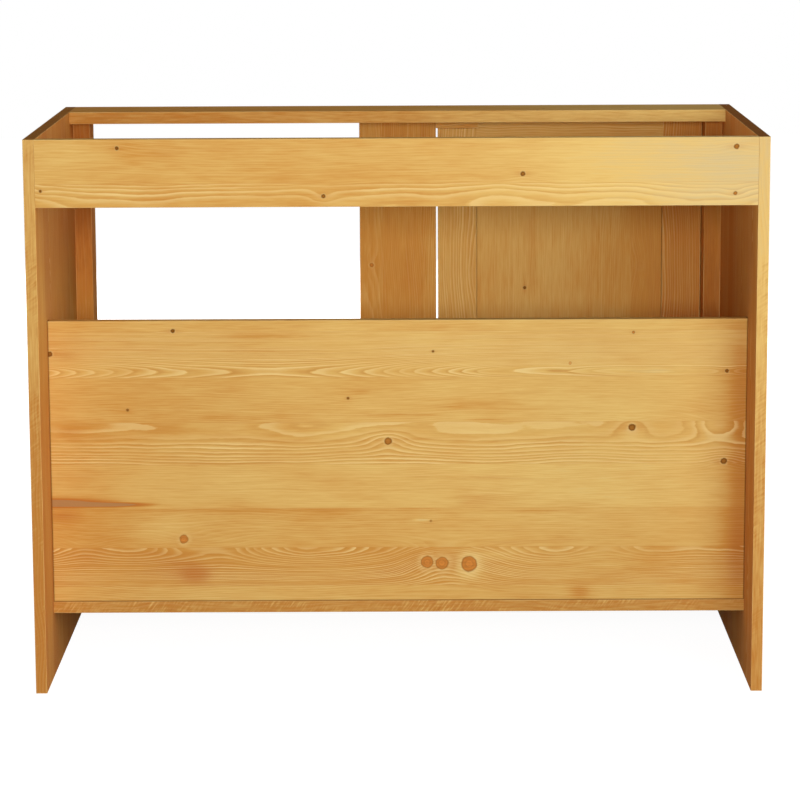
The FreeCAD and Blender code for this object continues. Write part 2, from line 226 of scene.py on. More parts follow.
def cloud(tree, x, y=0.0, z=0.0, detail=2.0):
    """Smooth noise about 0, from roughly -0.3 to 0.3, with lumps one unit across."""
    point = tree.nodes.new("ShaderNodeCombineXYZ")
    for socket, value in zip(point.inputs, (x, y, z)):
        feed(tree, socket, value)
    noise = tree.nodes.new("ShaderNodeTexNoise")
    feed(tree, noise.inputs["Vector"], point.outputs[0])
    noise.inputs["Scale"].default_value = 1.0
    noise.inputs["Detail"].default_value = detail
    return Field(tree, noise.outputs[0]) - 0.5


def mix(tree, share, colour, other):
    """One colour turned into another by a share, which is held between 0 and 1."""
    node = tree.nodes.new("ShaderNodeMix")
    node.data_type = "RGBA"
    feed(tree, node.inputs[0], share)
    feed(tree, node.inputs[6], colour)
    feed(tree, node.inputs[7], other)
    return node.outputs[2]


def scaled(tree, colour, factor):
    """A colour made lighter or darker by a field about 1."""
    node = tree.nodes.new("ShaderNodeVectorMath")
    node.operation = "SCALE"
    feed(tree, node.inputs[0], colour)
    feed(tree, node.inputs["Scale"], factor)
    return node.outputs[0]


def new_finish(name):
    """A material with a Principled shader: the material, its tree and the shader."""
    material = bpy.data.materials.new(name)
    material.use_nodes = True
    tree = material.node_tree
    return material, tree, tree.nodes["Principled BSDF"]


def surface(tree, output):
    """The place or the way of a surface, as Texture Coordinate gives it, by axis."""
    where = tree.nodes.new("ShaderNodeTexCoord")
    node = tree.nodes.new("ShaderNodeSeparateXYZ")
    feed(tree, node.inputs[0], where.outputs[output])
    return dict(zip("XYZ", [Field(tree, socket) for socket in node.outputs]))


def place_in_mm(tree):
    """The place of a surface on its piece, by axis."""
    return {axis: part * (1 / MM) for axis, part in surface(tree, "Object").items()}


def relief(tree, shader, height, strength, depth):
    """Fine relief from a height field."""
    bump = tree.nodes.new("ShaderNodeBump")
    bump.inputs["Strength"].default_value = strength
    bump.inputs["Distance"].default_value = depth * MM
    feed(tree, bump.inputs["Height"], height)
    feed(tree, shader.inputs["Normal"], bump.outputs[0])


def node_group(name, takes, gives, recipe):
    """A group of nodes that takes numbers by name. The recipe returns what the group gives."""
    group = bpy.data.node_groups.new(name, "ShaderNodeTree")
    for label in takes.split():
        group.interface.new_socket(label, in_out="INPUT", socket_type="NodeSocketFloat")
    for label in gives.split():
        kind = "NodeSocketColor" if label == "colour" else "NodeSocketFloat"
        group.interface.new_socket(label, in_out="OUTPUT", socket_type=kind)
    start = group.nodes.new("NodeGroupInput")
    end = group.nodes.new("NodeGroupOutput")
    taken = {label: Field(group, start.outputs[label]) for label in takes.split()}
    for label, value in recipe(group, SimpleNamespace(**taken)).items():
        feed(group, end.inputs[label], value)
    return group


def grouped(tree, group, **values):
    """One use of a node group: what it gives, by name."""
    node = tree.nodes.new("ShaderNodeGroup")
    node.node_tree = group
    for label, value in values.items():
        feed(tree, node.inputs[label], value)
    return {socket.name: socket if socket.name == "colour" else Field(tree, socket)
            for socket in node.outputs}


# Pine: yearly rings, knots and stain
def knot_recipe(tree, at):
    """Adds one knot: the distance to the nearest knot in radii, that knot's stain and the distance
    to its rim, how far the knots push the rings aside, and their brown tails along the grain."""
    dx = at.along - at.knot_along
    dy = at.across - at.knot_across
    # Smaller knots are more ragged
    ragged = at.radius * -0.05 + 0.95
    lump = cloud(tree, dx / at.radius, dy / at.radius, at.knot_along * 0.13, detail=2.0)
    reach = (dx * dx + dy * dy).root() / at.radius + lump * ragged
    nearer = at.nearest.past(reach)
    spread = at.radius * 2.6 + 5.0
    bulge = ((dx * dx * 0.3 + dy * dy).root() / spread).hump() * at.radius * KNOT_PUSH
    tail_x = dx / (at.radius * KNOT_TAIL[0])
    tail_y = dy / (at.radius * KNOT_TAIL[1])
    return {"nearest": at.nearest.least(reach),
            "stain": at.stain + (at.knot_stain - at.stain) * nearer,
            "rim": at.rim.least(abs(reach - 1.0) * at.radius),
            "push": at.push + bulge,
            "tail": at.tail + (tail_x * tail_x + tail_y * tail_y).root().hump() * at.knot_stain}


def patch_recipe(tree, at):
    """Adds one soft patch that darkens, or lightens where its amount is below 0: real stain, and on some
    boards painted shade and painted light.
    """
    dx = (at.along - at.patch_along) / at.reach
    dy = (at.across - at.patch_across) / at.rise
    return {"patch": at.patch + (dx * dx + dy * dy).root().hump() * at.amount}


def ring_recipe(tree, at):
    """Pale latewood and stain-dark earlywood, each from 0 to 1, where a face cuts the yearly rings.
    The rings lie about the tree's heart, which bows and wanders a little along the plank."""
    wander = cloud(tree, at.along * 0.0050, at.seed * 90.0, detail=1.0)
    sway = cloud(tree, at.along * 0.0028, at.seed * 90.0 + 40.0, detail=1.0)
    ripple = cloud(tree, at.along * 0.010, at.off * 0.05, at.down * 0.05 + at.seed * 50.0, detail=1.0)
    fray = cloud(tree, at.along * 0.045, at.off * 0.22, at.down * 0.22 + at.seed * 80.0)
    side = at.off * at.crowd + sway * RING_SWAY
    deep = at.down + wander * at.wander + ((at.along - at.bow_at) / BOW_REACH).hump() * at.bow
    radius = (side * side + deep * deep).root() + at.push + ripple * RING_RIPPLE + fray * RING_FRAY
    year = radius / RING_W + cloud(tree, radius * 0.07, at.seed * 70.0, detail=1.0) * 2.0
    part = year.fraction()
    vigour = cloud(tree, year.floor() * 3.7, at.seed * 60.0, detail=0.0) * 2.2 + 0.85
    return {"late": part.ramp(0.38, 0.88) * part.ramp(0.93, 1.0, 1.0, 0.0) * vigour,
            "early": part.ramp(0.0, 0.06) * part.ramp(0.06, 0.42, 1.0, 0.0) * vigour}


def grain_cloud(tree, at, lumps, salt, detail=2.0):
    """Noise drawn out along the grain and other in each plank."""
    along, across = lumps
    return cloud(tree, at.along * (along * MM), at.across * (across * MM),
                 at.depth * (across * MM) + at.seed * salt, detail)


def pine_marks(tree, at):
    """The yearly rings and the finer and coarser marks in the grain."""
    rings = grouped(tree, RINGS, along=at.along, off=at.off, down=at.down, seed=at.seed, push=at.push,
                    crowd=at.crowd, wander=at.wander, bow_at=at.bow_at, bow=at.bow)
    fade = cloud(tree, at.along * (FADE[0] * MM), at.across * (FADE[1] * MM), at.seed * 40.0, detail=1.0)
    strength = at.figure * fade.ramp(-0.35, 0.25, 0.35, 1.0)
    return SimpleNamespace(
        ring=rings["late"],
        late=rings["late"] * strength,
        early=rings["early"] * strength,
        hair=grain_cloud(tree, at, HAIR, salt=20.0, detail=3.0),
        fibre=grain_cloud(tree, at, FIBRE, salt=20.0, detail=4.0),
        streak=grain_cloud(tree, at, STREAK, salt=25.0, detail=3.0),
        blotch=grain_cloud(tree, at, BLOTCH, salt=30.0),
        mottle=cloud(tree, at.along * 0.04, at.across * 0.3, at.depth * 0.22 + 7.0, detail=3.0))


def face_colour(tree, at, marks):
    """Long faces: stain by plank, fibre and blotch, then the ring lines and the glue line."""
    # The plank tone and the patches are real stain, and on some boards painted shade and painted light
    shade = at.tone + marks.fibre * 0.55 + marks.hair * 0.85 - marks.blotch * 0.80 - at.patch
    colour = mix(tree, shade * -1.0, mix(tree, shade, AMBER, STRAW), RUSSET)
    # Above 1 the shade turns cream: pale wood, and on the back rail's end a painted sheen
    colour = mix(tree, shade - 1.0, colour, CREAM_AND_SHEEN)
    colour = mix(tree, marks.early * 0.45, colour, EARLYWOOD)
    colour = mix(tree, marks.late * 0.85, colour, LATEWOOD)
    colour = mix(tree, marks.blotch.ramp(0.08, 0.40) * 0.25, colour, RUSSET)
    # Strong patches turn russet, which is painted shade where a patch stands for shade
    colour = mix(tree, at.patch.ramp(0.2, 1.2) * 0.6, colour, RUSSET)
    colour = mix(tree, at.patch.ramp(1.5, 2.2) * 0.9, colour, STREAK_GREY)
    colour = mix(tree, marks.streak.ramp(0.12, 0.34) * 0.30, colour, RUSSET)
    dash = marks.hair.ramp(0.16, 0.28) * marks.fibre.ramp(0.0, 0.2)
    colour = mix(tree, dash * 0.25, colour, RUSSET)
    return mix(tree, at.seam.ramp(0.0, SEAM_W, 0.22, 0.0), colour, RUSSET)


def edge_colour(tree, at, marks):
    """Long edges, which took more stain and keep some slanting saw marks."""
    saw = cloud(tree, (at.along + at.depth * 0.7) * 0.24, at.depth * 0.05, detail=1.0)
    sawn = saw * at.saw * marks.blotch.ramp(-0.1, 0.1)
    shade = at.edge_tone + marks.mottle * 0.5 + marks.hair * 0.9 - marks.blotch * 0.8 - at.patch + sawn
    colour = mix(tree, shade * -1.0, mix(tree, shade, EARLYWOOD, STRAW), RUSSET)
    # Deep brown where the shade is far below 0: dark stain spots on the edges, and painted shade on the
    # posts
    colour = mix(tree, shade * -0.6 - 0.18, colour, END_BROWN)
    colour = mix(tree, shade - 1.0, colour, CREAM_AND_SHEEN)
    colour = mix(tree, marks.early * 0.35, colour, EARLYWOOD)
    return mix(tree, marks.late * 0.35, colour, LATEWOOD)


def with_knots(tree, at, marks, colour):
    """Knots over a colour: brown tails, a pale halo, then a core from red to dark brown in a dark rim."""
    colour = mix(tree, (at.tail * 0.40).least(0.5), colour, RUSSET)
    halo = at.nearest.ramp(1.1, 2.3, 1.0, 0.0) * at.stain.ramp(0.0, 0.5)
    halo = halo * (marks.mottle + 0.3).ramp(0.0, 0.6)
    colour = mix(tree, halo * 0.65, colour, LATEWOOD)
    core = mix(tree, at.stain.ramp(0.45, 0.75), KNOT_RED, KNOT_BROWN)
    core = mix(tree, at.stain.ramp(0.75, 1.0) * 0.7, core, BARK_BROWN)
    own_rings = (at.nearest * 2.3).fraction() * 0.22
    core = scaled(tree, core, own_rings - at.nearest * 0.25 + marks.mottle * 0.6 + 1.06)
    colour = mix(tree, at.nearest.ramp(0.9, 1.15, 1.0, 0.0) * at.stain.ramp(0.05, 0.3), colour, core)
    rim = (at.rim / RIM_W).hump() * at.stain.ramp(0.1, 0.7)
    rim_colour = mix(tree, at.stain.ramp(0.4, 0.8), KNOT_BROWN, BARK_BROWN)
    return mix(tree, rim * 0.8, colour, rim_colour)


def pine_recipe(tree, at):
    """Colour, roughness and relief of stained and varnished pine."""
    marks = pine_marks(tree, at)
    on_edge = at.edge.ramp(0.5, 0.9)
    on_end = at.end.ramp(0.5, 0.9)
    colour = mix(tree, on_edge * 0.9, face_colour(tree, at, marks), edge_colour(tree, at, marks))
    end_colour = mix(tree, marks.ring * 0.6 + at.end_tone, END_BROWN, AMBER)
    colour = with_knots(tree, at, marks, mix(tree, on_end * 0.9, colour, end_colour))

    # Dark lines of painted shade in the corners where another board butts on, and arrises where the stain
    # is rubbed thin
    colour = mix(tree, at.butt.ramp(0.0, BUTT_W, 0.9, 0.0), colour, BARK_BROWN)
    worn = at.arris.ramp(0.2, ARRIS_W, 1.0, 0.0) * (marks.fibre + 0.25).ramp(0.0, 0.5)
    colour = mix(tree, worn * 0.45, colour, LATEWOOD)
    rough = marks.fibre * 0.22 - marks.late * 0.06 + on_end * 0.12 - worn * 0.06 + 0.74
    glue_dip = at.seam.ramp(0.0, SEAM_W, 0.6, 0.0)
    height = marks.late * 0.5 + marks.hair * 0.6 + marks.fibre * 0.4 - glue_dip
    return {"colour": colour, "rough": rough, "height": height}


KNOT = node_group("knot", "along across knot_along knot_across radius knot_stain "
                  "nearest stain rim push tail", "nearest stain rim push tail", knot_recipe)
PATCH = node_group("stain_and_shade_patch", "along across patch_along patch_across reach rise amount patch",
                   "patch", patch_recipe)
RINGS = node_group("yearly_rings", "along off down seed push crowd wander bow_at bow",
                   "late early", ring_recipe)
PINE = node_group("stained_pine", "along across depth edge end edge_tone end_tone saw "
                  "tone figure seed off down crowd wander bow_at bow seam "
                  "nearest stain rim push tail patch butt arris",
                  "colour rough height", pine_recipe)


def limits(node):
    """The lowest and the highest place of a node of the frame, by axis."""
    return [dict(zip("XYZ", corner / MM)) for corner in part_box(node)]


def glued_up(chance, total, tones):
    """Edge-glued planks of one width, the outer two trimmed, each from another tree."""
    widths = [chance.uniform(*LAMELLA_TRIM) * LAMELLA_W]
    while sum(widths) < total:
        widths.append(LAMELLA_W)
    widths[-1] -= sum(widths) - total
    planks = []
    for width in widths:
        side = chance.choice((-1, 1))
        planks.append(Plank(width, chance.uniform(*tones), chance.uniform(*LAMELLA_FIGURES),
                            side * chance.uniform(*LAMELLA_HEARTS), chance.uniform(*LAMELLA_DEPTHS)))
    return planks


def scattered_knots(chance, start, length, bottom, planks):
    """A few knots in each plank, none of them over a glue line."""
    knots = []
    for plank in planks:
        for _ in range(int(length / KNOT_EVERY + chance.random())):
            radius = min(chance.choice(KNOT_RADII), plank.width / 5)
            along = start + chance.uniform(0.05, 0.95) * length
            across = bottom + plank.width * chance.uniform(0.25, 0.75)
            knots.append(Knot(along, across, radius, chance.uniform(*KNOT_STAINS)))
        bottom += plank.width
    return knots


def by_plank(tree, index, rows):
    """Three numbers, none below 0, for the plank that a point lies in."""
    node = tree.nodes.new("ShaderNodeValToRGB")
    stops = node.color_ramp.elements
    node.color_ramp.interpolation = "CONSTANT"
    stops.remove(stops[1])
    for i, row in enumerate(rows):
        stop = stops[0] if i == 0 else stops.new(i / len(rows))
        stop.color = (*row, 1.0)
    feed(tree, node.inputs[0], (index + 0.5) / len(rows))
    parts = tree.nodes.new("ShaderNodeSeparateColor")
    feed(tree, parts.inputs[0], node.outputs[0])
    return [Field(tree, socket) for socket in parts.outputs]


def planked(tree, across, depth, start, planks, chance):
    """What the plank at a point is like, and the distance to the nearest glue line. The planks lie
    side by side from the start up."""
    index = across * 0.0
    seam = across * 0.0 + AWAY
    edge = start
    looks = []
    hearts = []
    bows = []
    for plank in planks:
        heart = edge + plank.width / 2 + plank.heart
        looks.append((plank.tone / 2 + 0.5, plank.figure, chance.random()))
        hearts.append((heart / FAR + 0.5, plank.deep / FAR + 0.5, plank.crowd / CROWDED))
        bows.append((plank.bow_at / FAR + 0.5, plank.bow / FAR + 0.5, plank.wander / FAR))
        edge += plank.width
        if plank is not planks[-1]:
            index = index + across.past(edge)
            seam = seam.least(abs(across - edge))
    tone, figure, seed = by_plank(tree, index, looks)
    heart, deep, crowd = by_plank(tree, index, hearts)
    bow_at, bow, wander = by_plank(tree, index, bows)
    return {"tone": tone * 2.0 - 1.0, "figure": figure, "seed": seed, "seam": seam,
            "off": across - (heart - 0.5) * FAR, "down": depth + (deep - 0.5) * FAR,
            "crowd": crowd * CROWDED, "wander": wander * FAR,
            "bow_at": (bow_at - 0.5) * FAR, "bow": (bow - 0.5) * FAR}


def knotted(tree, along, across, knots):
    """What all the knots of a board do at a point."""
    sums = {"nearest": AWAY, "stain": 0.0, "rim": AWAY, "push": 0.0, "tail": 0.0}
    for knot in knots:
        sums = grouped(tree, KNOT, along=along, across=across, knot_along=knot.along,
                       knot_across=knot.across, radius=knot.radius, knot_stain=knot.stain, **sums)
    return sums


def patched(tree, along, across, patches):
    """The sum of a board's soft patches at a point."""
    sums = {"patch": 0.0}
    for patch in patches:
        sums = grouped(tree, PATCH, along=along, across=across, patch_along=patch.along,
                       patch_across=patch.across, reach=patch.reach, rise=patch.rise,
                       amount=patch.stain, **sums)
    return sums


def nearest_butt(place, butts):
    """The distance to the nearest line where another board butts on, each an axis and its place."""
    nearest = place["X"] * 0.0 + AWAY
    for axis, position in butts:
        nearest = nearest.least(abs(place[axis] - position))
    return nearest


def nearest_arris(place, low, high):
    """The middle one of the distances to the board's three pairs of faces."""
    a, b, c = [(place[axis] - low[axis]).least(place[axis] * -1.0 + high[axis]) for axis in "XYZ"]
    return a.least(b).most(a.most(b).least(c))


def pine(node, ways, planks=None, knots=None, patches=(), butts=(), tones=LAMELLA_TONES,
         edge_tone=0.45, end_tone=0.12, saw=0.15):
    """The finish of one board: its planks, yearly rings, knots, edges and nearly matt varnish. The ways
    are the axes of its grain and of its width. The tones are those of planks left to chance, and saw
    is how strongly the edges show saw marks."""
    grain, width = ways
    thickness = ({"X", "Y", "Z"} - {grain, width}).pop()
    low, high = limits(node)
    span = high[width] - low[width]
    chance = random.Random(node)
    if planks is None:
        planks = glued_up(chance, span, tones)
    planks = [plank._replace(width=span) if plank.width is None else plank for plank in planks]
    if knots is None:
        knots = scattered_knots(chance, low[grain], high[grain] - low[grain], low[width], planks)

    material, tree, shader = new_finish("pine_" + node)
    facing = surface(tree, "Normal")
    place = place_in_mm(tree)
    along = place[grain]
    across = place[width]
    depth = place[thickness] - (low[thickness] + high[thickness]) / 2
    made = grouped(tree, PINE, along=along, across=across, depth=depth,
                   edge=abs(facing[width]), end=abs(facing[grain]),
                   edge_tone=edge_tone, end_tone=end_tone, saw=saw,
                   butt=nearest_butt(place, butts), arris=nearest_arris(place, low, high),
                   **planked(tree, across, depth, low[width], planks, chance),
                   **knotted(tree, along, across, knots),
                   **patched(tree, along, across, patches))
    feed(tree, shader.inputs["Base Color"], made["colour"])
    feed(tree, shader.inputs["Roughness"], made["rough"])
    shader.inputs["Specular IOR Level"].default_value = VARNISH_GLOSS
    relief(tree, shader, made["height"], strength=0.25, depth=0.25)
    return material


# Metals
def hinge_brass():
    """Satin brass with fine drawn lines and a little tarnish."""
    material, tree, shader = new_finish("satin_brass")
    place = place_in_mm(tree)
    drawn = cloud(tree, place["X"] * 4.0, place["Y"] * 4.0, place["Z"] * 0.25, detail=3.0)
    tarnish = cloud(tree, place["X"] * 0.12, place["Y"] * 0.12, place["Z"] * 0.12, detail=4.0)
    colour = mix(tree, tarnish.ramp(-0.1, 0.3), BRASS, TARNISH)
    feed(tree, shader.inputs["Base Color"], scaled(tree, colour, drawn * 0.25 + 1.0))
    feed(tree, shader.inputs["Roughness"], tarnish * 0.4 + drawn * 0.3 + 0.34)
    shader.inputs["Metallic"].default_value = 1.0
    relief(tree, shader, drawn, strength=0.12, depth=0.05)
    return material


def zinc_steel():
    """Bright zinc plating with a faint spangle."""
    material, tree, shader = new_finish("zinc_steel")
    place = place_in_mm(tree)
    spangle = cloud(tree, place["X"] * 0.9, place["Y"] * 0.9, place["Z"] * 0.9, detail=3.0)
    colour = mix(tree, spangle.ramp(-0.25, 0.25), ZINC_GREY, ZINC_WHITE)
    feed(tree, shader.inputs["Base Color"], colour)
    feed(tree, shader.inputs["Roughness"], spangle * 0.5 + 0.32)
    shader.inputs["Metallic"].default_value = 1.0
    return material


# Boards that the photograph shows, their planks listed from the lowest X or Z up
BACK_PANEL_PLANKS = [
    Plank(30.5, 0.47, 0.45, 90, 20),
    Plank(60.0, 0.13, 1.00, 30, 34, crowd=1.7, wander=46),
    Plank(61.4, 0.36, 0.25, -95, 15),
    Plank(68.8, 0.60, 0.25, 95, 15),
    Plank(65.5, 0.44, 1.00, 27, 40, wander=16),
    Plank(69.8, 0.46, 0.25, -95, 15),
    Plank(70.9, 0.49, 1.00, -27, 14, crowd=2.7, wander=9, bow_at=215, bow=48),
    Plank(17.1, 0.52, 0.25, 90, 15),
]
BACK_PANEL_KNOTS = [
    Knot(342, 538, 2.6, 0.95), Knot(530, 503, 3.4, 0.9), Knot(413, 416, 1.5, 0.7),
    Knot(76, 433, 1.5, 0.72), Knot(15, 366, 5.0, 0.62), Knot(-54, 505, 1.2, 0.8),
    Knot(-359, 533, 1.8, 0.5), Knot(-263, 486, 2.4, 0.2), Knot(-502, 473, 2.2, 0.85),
    Knot(-358, 386, 4.6, 0.75), Knot(-491, 392, 9.0, 0.02), Knot(-499, 333, 4.0, 0.75),
    Knot(330, 214, 6.5, 0.35), Knot(-50, 241, 1.2, 0.5), Knot(-44, 176, 9.0, 0.40),
    Knot(-67, 174, 9.5, 0.40), Knot(-109, 173, 11.5, 0.42), Knot(485, 194, 8.0, 0.02),
    Knot(270, 196, 9.0, 0.02),
]
BROWN_BLOTCHES = [Patch(313, 157, 24, 14, 0.9), Patch(-280, 128, 20, 12, 0.7), Patch(340, 170, 60, 20, 0.4)]
GREY_STREAK = [Patch(535, 271, 66, 5.6, 4.0), Patch(450, 268.2, 50, 2.7, 4.0)]
BROWN_STREAKS = [
    Patch(220, 529, 50, 5, 0.35), Patch(190, 506, 80, 5, 0.25), Patch(-118, 420, 60, 8, 0.35),
    Patch(-130, 399, 32, 2, 0.5), Patch(0, 407, 60, 3, 0.35), Patch(250, 404, 80, 6, 0.3),
    Patch(180, 259, 260, 3, 0.35), Patch(-210, 257, 60, 3, 0.4), Patch(110, 252, 40, 8, 0.35),
]
PALE_MARKS = [
    Patch(365, 225, 40, 18, -0.35), Patch(-37, 242.5, 14, 1.6, -1.2), Patch(-390, 473, 45, 3, -0.6),
    Patch(-109, 171, 18, 17, -1.5), Patch(-150, 186, 40, 8, -0.5),
]
# Painted shade at both ends of the back panel, next to the side panels
PAINTED_SHADE_AT_ENDS = [
    Patch(515, 250, 32, 10, 0.5), Patch(505, 500, 30, 14, 0.35), Patch(500, 380, 30, 12, 0.35),
    Patch(-525, 470, 28, 90, 0.8), Patch(-525, 330, 26, 90, 0.75), Patch(-525, 190, 28, 90, 0.85),
]
# Paler towards -X and darker towards +X: painted light and sheen from the key lamp's side. A faint darker
# band runs low in the middle
BROAD_CHANGES = [
    Patch(-380, 400, 340, 240, -0.3), Patch(100, 170, 420, 60, 0.1), Patch(540, 330, 220, 200, 0.2),
]
BACK_PANEL_PATCHES = BROWN_BLOTCHES + GREY_STREAK + BROWN_STREAKS + PALE_MARKS + PAINTED_SHADE_AT_ENDS + BROAD_CHANGES
BACK_RAIL_PLANKS = [Plank(35.0, 0.31, 0.85, -15, 30, wander=18), Plank(66.0, 0.32, 0.25, 95, 15)]
BACK_RAIL_KNOTS = [
    Knot(411, 827, 2.2, 1.0), Knot(525, 764, 1.5, 0.9), Knot(108, 755, 2.4, 0.8),
    Knot(-186, 787, 2.9, 0.8), Knot(-500, 826, 3.3, 0.66), Knot(-499, 757, 2.3, 0.6),
]
# The pale cream end towards -X is a painted sheen from the key lamp's side
BACK_RAIL_PATCHES = [
    Patch(-560, 790, 330, 150, -1.3), Patch(480, 790, 260, 150, -0.12), Patch(395, 818, 30, 18, 0.3),
]
# Paler towards -X and darker towards +X: painted light from the key lamp's side
FRONT_RAIL_PATCHES = [Patch(-420, -230, 330, 300, -0.65), Patch(450, -230, 300, 300, 0.1)]
# Back edges paler towards the top and darker towards the bottom
LEFT_SIDE_PATCHES = [Patch(900, 314, 330, 25, -0.75), Patch(0, 314, 300, 25, 0.5)]
# The first two as on the left side; the other four are painted light and shade on the inner face: paler at
# mid height and towards the back, darker high up near the front
RIGHT_SIDE_PATCHES = [
    Patch(900, 314, 330, 25, -0.45), Patch(0, 314, 300, 25, 0.2), Patch(520, -20, 110, 280, -0.7),
    Patch(690, -150, 60, 120, 0.6), Patch(500, -190, 50, 70, -0.6), Patch(620, 250, 90, 60, -0.35),
]
SIDE_KNOTS = [
    Knot(470, -150, 4.5, 0.6), Knot(230, -60, 3.0, 0.7), Knot(330, 110, 2.2, 0.8),
    Knot(150, -200, 5.5, 0.45),
]
# The posts' dark tone is painted shade of the cabinet's inside; this patch brings their front faces back to
# a pale tone
PALE_POST_FRONT = Patch(420, -286, 3000, 22, -0.95)
# On the posts' backs: painted shade high up under the rails and painted light low down on the blind post;
# painted light high up and painted shade low in the corner on the hinge post
BLIND_POST_PATCHES = [PALE_POST_FRONT, Patch(700, -226, 75, 30, 0.6), Patch(500, -226, 70, 30, -0.5)]
HINGE_POST_PATCHES = [PALE_POST_FRONT, Patch(690, -226, 75, 30, -0.5), Patch(480, -226, 45, 30, 0.5)]
# Painted shadow low on the hinge stile, in the corner beside the hinge post
HINGE_STILE_PATCHES = [Patch(475, -460, 45, 300, 0.45)]
CENTRE_STILE_PLANKS = [
    Plank(23, 0.02, 0.3, 90, 15), Plank(66, -0.08, 0.2, -90, 15), Plank(38, 0.06, 0.4, 15, 30),
]
CENTRE_STILE_KNOTS = [Knot(576, 44, 3.2, 0.3), Knot(290, -12, 2.5, 0.8)]
DOOR_PANEL_PLANKS = [
    Plank(60, -0.12, 0.2, -95, 15), Plank(66, 0.20, 0.2, 95, 15), Plank(66, 0.36, 0.2, -95, 15),
    Plank(66, 0.52, 0.2, 95, 15), Plank(69, 0.36, 0.2, -95, 15),
]
DOOR_PANEL_KNOTS = [
    Knot(537, -211, 2.0, 0.9), Knot(574, -403, 6.0, 0.1), Knot(300, -250, 3.5, 0.8),
    Knot(410, -330, 5.0, 0.6),
]
# Boards of one plank that is left to chance: the axes of their grain and their width
NARROW_BOARDS = {"plinth_board": "XZ", "plinth_blocks": "XZ", "shelf_battens": "YZ", "door_stop": "XZ",
                 "door_bottom_rail": "XZ", "door_top_rail": "XZ"}
# How far out of a corner between boards the middle of its dark line of painted shade lies
BUTT_SHOWS = 0.2


def dress(node, finish):
    """Puts a finish on a node of the frame."""
    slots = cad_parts[node].data.materials
    slots.clear()
    slots.append(finish)


def lay_pine(node, ways, **look):
    """Dresses a board of the frame in its own pine."""
    dress(node, pine(node, ways, **look))


def dress_carcass():
    """Pine of the boards that stand still."""
    # The side panels' low tones are painted shade: they darken the inner faces as the shaded inside of the
    # cabinet, and the outer faces with them
    lay_pine("side_panel_left", "ZY", knots=SIDE_KNOTS, patches=LEFT_SIDE_PATCHES,
             tones=(-1.2, -0.75), edge_tone=0.57, end_tone=-0.3, saw=1.1)
    lay_pine("side_panel_right", "ZY", knots=SIDE_KNOTS, patches=RIGHT_SIDE_PATCHES,
             tones=(-0.95, -0.45), edge_tone=0.06, saw=1.1)
    lay_pine("base_panel", "XY", edge_tone=0.06, saw=2.8)
    lay_pine("shelf", "XY")
    # The front rail's low tone is partly painted shade: it darkens its top face as if little light fell
    # from above
    lay_pine("front_rail", "XY", patches=FRONT_RAIL_PATCHES, tones=(-0.1, 0.25), edge_tone=0.22)
    lay_pine("back_rail", "XZ", planks=BACK_RAIL_PLANKS, knots=BACK_RAIL_KNOTS, patches=BACK_RAIL_PATCHES)
    lay_pine("centre_stile", "ZX", planks=CENTRE_STILE_PLANKS, knots=CENTRE_STILE_KNOTS)
    # The posts' low tones and edge tone are painted shade, as their backs stand in the shade inside
    lay_pine("blind_post", "ZY", planks=[Plank(None, -0.85, 0.15, 60, 20)], knots=[],
             patches=BLIND_POST_PATCHES, edge_tone=-0.6)
    lay_pine("hinge_post", "ZY", planks=[Plank(None, -0.75, 0.15, 60, 20)], knots=[],
             patches=HINGE_POST_PATCHES, edge_tone=-0.6)

    left_face = limits("side_panel_left")[1]["X"]
    right_face = limits("side_panel_right")[0]["X"]
    base_top = limits("base_panel")[1]["Z"]
    corners = [("X", left_face + BUTT_SHOWS), ("X", right_face - BUTT_SHOWS), ("Z", base_top + BUTT_SHOWS)]
    lay_pine("back_panel", "XZ", planks=BACK_PANEL_PLANKS, knots=BACK_PANEL_KNOTS,
             patches=BACK_PANEL_PATCHES, butts=corners)


def dress_door():
    """Pine of the door's panel and stiles."""
    lay_pine("door_panel", "ZX", planks=DOOR_PANEL_PLANKS, knots=DOOR_PANEL_KNOTS)
    lay_pine("door_lock_stile", "ZX", planks=[Plank(None, 0.43, 0.8, -45, 18)], knots=[])
    # The hinge stile's low tone is partly painted shade of the door's inside
    lay_pine("door_hinge_stile", "ZX", planks=[Plank(None, -0.48, 0.4, 60, 20)], knots=[],
             patches=HINGE_STILE_PATCHES)


def dress_narrow_boards():
    """Pine of the boards of one plank without knots."""
    for node, ways in NARROW_BOARDS.items():
        chance = random.Random(node + " plank")
        plank = Plank(None, chance.uniform(*NARROW_TONES), chance.uniform(*NARROW_FIGURES),
                      chance.uniform(*NARROW_HEARTS), chance.uniform(*NARROW_DEPTHS))
        lay_pine(node, ways, planks=[plank], knots=[])


# Pieces that Blender makes finer than the solids
def finished(name, mesh, body, slot, finish, *stands_for):
    """Turns a bmesh into a piece that rides on a body and stands for the given nodes."""
    data = bpy.data.meshes.new(name)
    mesh.to_mesh(data)
    mesh.free()
    data.materials.append(finish)
    piece = bpy.data.objects.new(name, data)
    bpy.context.scene.collection.objects.link(piece)
    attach(piece, body)
    if stands_for:
        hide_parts(*stands_for)
    return piece


# Half outline of the turned knob, as radius and height over the door: the foot, then the curves of
# the neck, the rim and the crown, each with two handles, its end and its number of points
KNOB_FOOT = [(9.0, 0.0), (9.0, 1.6), (8.3, 2.4)]
KNOB_CURVES = [((7.4, 5.5), (8.6, 10.2), (14.2, 12.6), 5),
               ((16.2, 13.5), (17.0, 15.8), (17.0, 18.2), 3),
               ((17.0, 24.5), (11.5, 28.0), (0.0, 28.0), 7)]
KNOB_TURNS = 64
KNOB_PLANK = Plank(None, 0.48, 0.8, 11, 24)
WELD = 0.01


